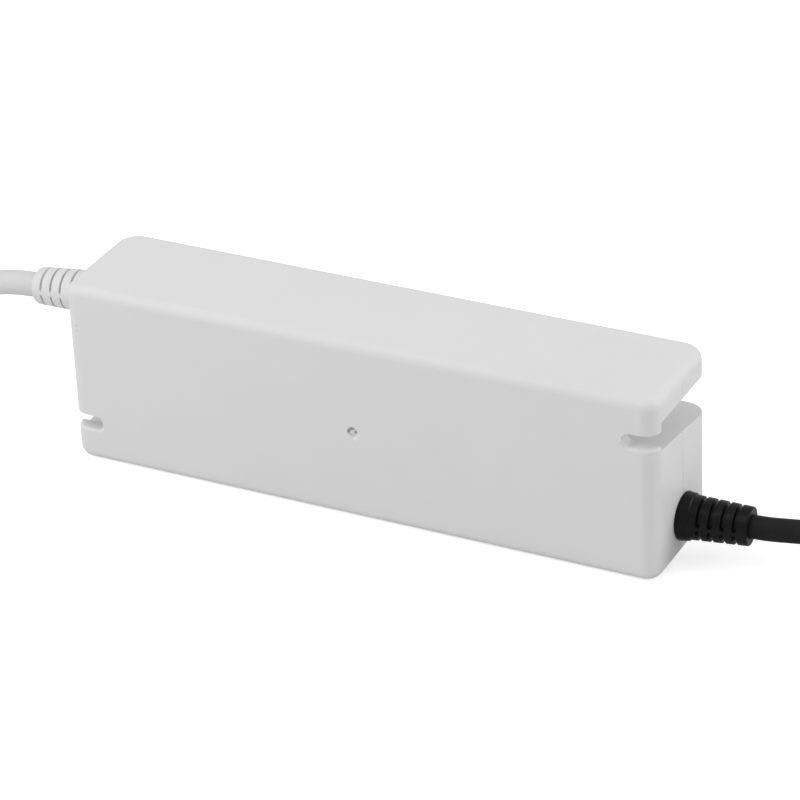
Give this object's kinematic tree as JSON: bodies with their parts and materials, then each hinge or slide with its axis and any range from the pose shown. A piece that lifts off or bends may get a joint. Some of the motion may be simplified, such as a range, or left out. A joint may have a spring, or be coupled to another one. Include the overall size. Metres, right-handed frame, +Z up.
{
  "type": "led driver",
  "caption": "Slim white plastic LED driver with open screw slots at diagonal corners, a ribbed white mains boot and a ribbed black output boot, each with a bare-ended round cord.",
  "frame": {"origin": "bottom centre of the housing as it stands on its long narrow side, without the boots and cords", "axes": "+X along the housing towards the output cord, +Y away from the mounting face towards the back, +Z up"},
  "size_m": [0.4041, 0.0618, 0.052],
  "materials": {
    "white_case": "white moulded plastic with a fine satin texture",
    "white_cord": "white flexible PVC, satin",
    "black_cord": "black flexible PVC, satin",
    "brown_core": "brown core insulation",
    "blue_core": "blue core insulation",
    "green_core": "green core insulation with a yellow stripe",
    "red_core": "red core insulation",
    "black_core": "black core insulation",
    "board": "green glass-epoxy board",
    "steel": "plated steel",
    "dark_plastic": "black moulded component package",
    "blue_coating": "blue dipped coating",
    "green_coating": "dark green dipped coating",
    "yellow_plastic": "yellow moulded component case",
    "ferrite": "sintered ferrite",
    "copper_wire": "enamelled copper winding",
    "capacitor_sleeve": "dark heat-shrink sleeve",
    "sink_aluminium": "extruded aluminium",
    "bobbin_plastic": "cream moulded bobbin",
    "winding_tape": "yellow polyester tape over the winding",
    "pale_plastic": "pale moulded component package",
    "resistor_body": "tan resistor coating"
  },
  "bodies": {
    "root": {"base_shell": "white_case", "cover_shell": "white_case", "mains_boot": "white_cord", "output_boot": "black_cord", "mains_cord": "white_cord", "output_cord": "black_cord", "mains_live_end": "brown_core", "mains_neutral_end": "blue_core", "mains_earth_end": "green_core", "output_positive_end": "red_core", "output_negative_end": "black_core", "circuit_board": "board", "board_screws": "steel", "live_wire": "brown_core", "neutral_wire": "blue_core", "earth_wire": "green_core", "positive_wire": "red_core", "negative_wire": "black_core", "fuse": "dark_plastic", "varistor": "blue_coating", "thermistor": "green_coating", "x_capacitor": "yellow_plastic", "choke_core": "ferrite", "choke_windings": "copper_wire", "bridge_rectifier": "dark_plastic", "bulk_capacitor": "capacitor_sleeve", "transistor_heatsink": "sink_aluminium", "switching_transistor": "dark_plastic", "transistor_screw": "steel", "transformer_bobbin": "bobbin_plastic", "transformer_winding": "winding_tape", "transformer_core_lower": "ferrite", "transformer_core_upper": "ferrite", "y_capacitor": "blue_coating", "optocoupler": "pale_plastic", "controller_chip": "dark_plastic", "diode_heatsink": "sink_aluminium", "output_diode": "dark_plastic", "diode_screw": "steel", "output_capacitors": "capacitor_sleeve", "inductor_core": "ferrite", "inductor_winding": "copper_wire", "resistors": "resistor_body"}
  },
  "joints": []
}
